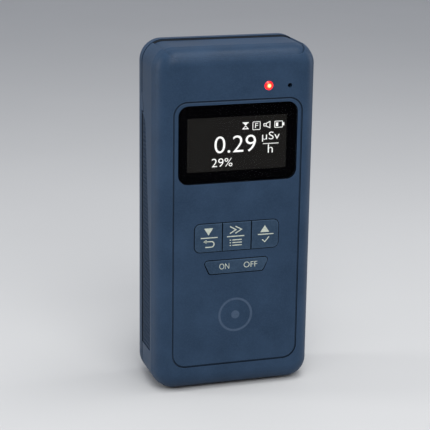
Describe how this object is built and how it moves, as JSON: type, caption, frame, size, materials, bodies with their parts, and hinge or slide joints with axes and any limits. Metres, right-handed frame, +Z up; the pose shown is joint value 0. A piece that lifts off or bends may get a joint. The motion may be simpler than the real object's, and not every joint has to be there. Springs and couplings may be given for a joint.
{
  "type": "geiger counter",
  "caption": "Handheld radiation counter: slim two-part case with display window, three keys, power rocker, lamp, detector tube, board and a tipping battery door.",
  "frame": {"origin": "middle of the footprint, on the flat bottom end that the case stands on", "axes": "+Z up the long way to the top end, -Y out of the display face, +X to the reader's right"},
  "size_m": [0.057, 0.0265, 0.1215],
  "materials": {
    "case_blue": "fine moulded texture",
    "grip_blue": "soft touch, finely ribbed",
    "seal_black": "satin",
    "lens_black": "hard coated, black printed border",
    "display_glass": "dark display glass",
    "tape_black": "adhesive tape",
    "foam_black": "closed-cell foam",
    "frame_black": "moulded",
    "flex_amber": "polyimide film",
    "socket_cream": "moulded",
    "key_blue": "satin, printed legends",
    "switch_black": "moulded",
    "plunger_white": "moulded",
    "board_green": "solder mask",
    "lamp_red": "clear red",
    "pipe_red": "clear, lit from behind",
    "buzzer_black": "moulded",
    "steel": "zinc plated",
    "spring_steel": "nickel plated",
    "tube_glass": "clear",
    "tube_metal": "drawn",
    "ferrite": "ferrite core",
    "capacitor_sleeve": "shrink sleeve",
    "chip_black": "epoxy",
    "crystal_can": "plated",
    "ceramic_tan": "ceramic",
    "cell_wrap": "printed sleeve"
  },
  "bodies": {
    "case": {"front_shell": "case_blue", "rear_shell": "case_blue", "case_seal": "seal_black", "side_grip_left": "grip_blue", "side_grip_right": "grip_blue", "window_lens": "lens_black", "lens_tape": "tape_black", "display_panel": "display_glass", "display_cushion": "foam_black", "display_frame": "frame_black", "display_flex": "flex_amber", "display_socket": "socket_cream", "rocker_pin": "steel", "switch_bodies": "switch_black", "main_board": "board_green", "status_lamp": "lamp_red", "light_pipe": "pipe_red", "buzzer": "buzzer_black", "buzzer_gasket": "foam_black", "board_screws": "steel", "case_screws": "steel", "tube_glass": "tube_glass", "tube_cap_bottom": "tube_metal", "tube_cap_top": "tube_metal", "tube_cathode": "tube_metal", "tube_anode": "tube_metal", "tube_clips": "spring_steel", "hv_transformer": "ferrite", "hv_capacitors": "capacitor_sleeve", "microcontroller": "chip_black", "clock_crystal": "crystal_can", "small_parts": "ceramic_tan", "cell_left": "cell_wrap", "cell_right": "cell_wrap", "contact_positive": "spring_steel", "contact_negative": "spring_steel", "contact_bridge": "spring_steel", "spring_left": "spring_steel", "spring_right": "spring_steel"},
    "down_key": {"key_down": "key_blue", "plunger_down": "plunger_white"},
    "menu_key": {"key_menu": "key_blue", "plunger_menu": "plunger_white"},
    "up_key": {"key_up": "key_blue", "plunger_up": "plunger_white"},
    "power_key": {"power_rocker": "key_blue"},
    "on_plunger": {"plunger_on": "plunger_white"},
    "off_plunger": {"plunger_off": "plunger_white"},
    "door": {"battery_door": "case_blue"}
  },
  "joints": [
    {"name": "key_down_press", "type": "slide", "parent": "case", "child": "down_key", "axis": [0, 1, 0], "range_m": [0, 0.0003], "stiffness_N_per_m": 400},
    {"name": "key_menu_press", "type": "slide", "parent": "case", "child": "menu_key", "axis": [0, 1, 0], "range_m": [0, 0.0003], "stiffness_N_per_m": 400},
    {"name": "key_up_press", "type": "slide", "parent": "case", "child": "up_key", "axis": [0, 1, 0], "range_m": [0, 0.0003], "stiffness_N_per_m": 400},
    {"name": "power_rocker_tilt", "type": "hinge", "parent": "case", "child": "power_key", "pos_m": [0, -0.00925, 0.04505], "axis": [0, 0, 1], "range_deg": [-2, 2], "stiffness_Nm_per_rad": 0.02},
    {"name": "plunger_on_slide", "type": "slide", "parent": "case", "child": "on_plunger", "axis": [0, 1, 0], "range_m": [-0.00026, 0.00026]},
    {"name": "plunger_off_slide", "type": "slide", "parent": "case", "child": "off_plunger", "axis": [0, 1, 0], "range_m": [-0.00026, 0.00026]},
    {"name": "battery_door_tip", "type": "hinge", "parent": "case", "child": "door", "pos_m": [0, 0.0129, 0.0631], "axis": [1, 0, 0], "range_deg": [0, 30]}
  ],
  "couplings": [
    {"joint": "plunger_off_slide", "follows": "power_rocker_tilt", "m_per_rad": 0.007},
    {"joint": "plunger_on_slide", "follows": "power_rocker_tilt", "m_per_rad": -0.007}
  ]
}
